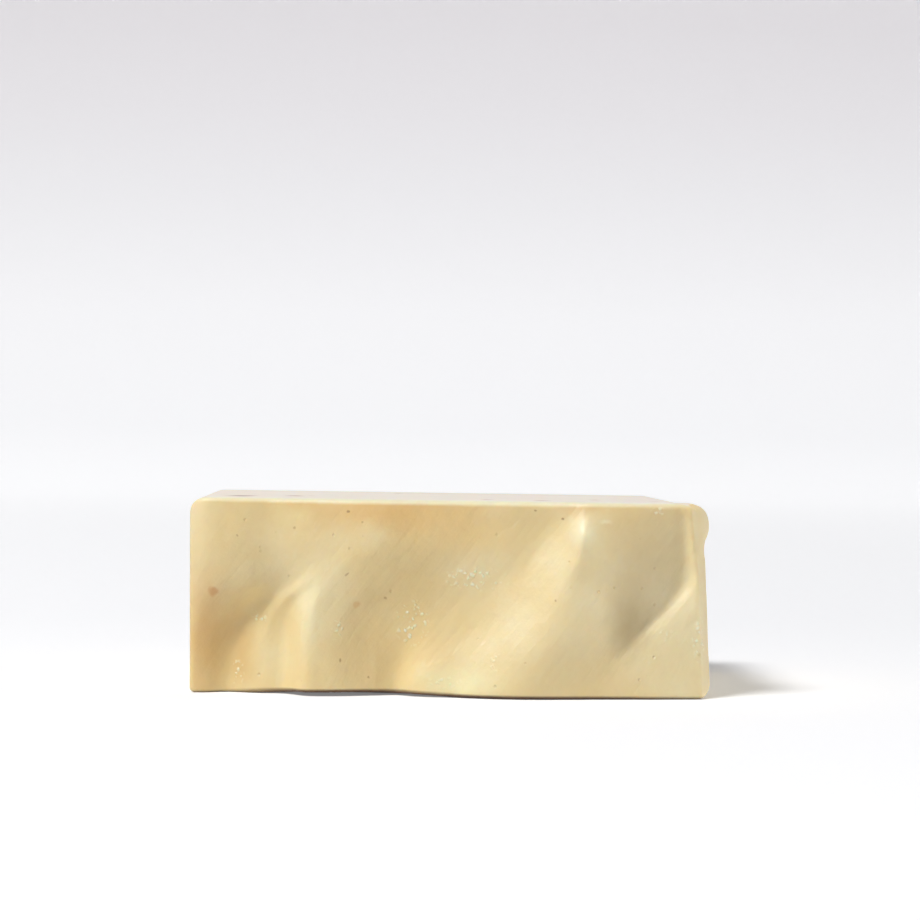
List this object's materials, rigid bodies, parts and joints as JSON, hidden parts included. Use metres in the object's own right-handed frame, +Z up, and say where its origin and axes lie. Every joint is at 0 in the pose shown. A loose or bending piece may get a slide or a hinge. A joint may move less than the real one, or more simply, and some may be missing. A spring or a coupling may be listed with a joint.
{
  "type": "bar of soap",
  "caption": "Hand-cut bar of pale waxy soap with a wavy, hand-textured front face and plain cut and moulded sides.",
  "frame": {"origin": "centre of the bounding box, at the cut face the bar lies on", "axes": "+X along the bar from mould wall to mould wall, +Z up from the cut face it lies on, the hand-textured face looks toward -Y"},
  "size_m": [0.0824, 0.0568, 0.0308],
  "materials": {
    "soap": "waxy satin"
  },
  "bodies": {
    "root": {"soap_bar": "soap"}
  },
  "joints": []
}
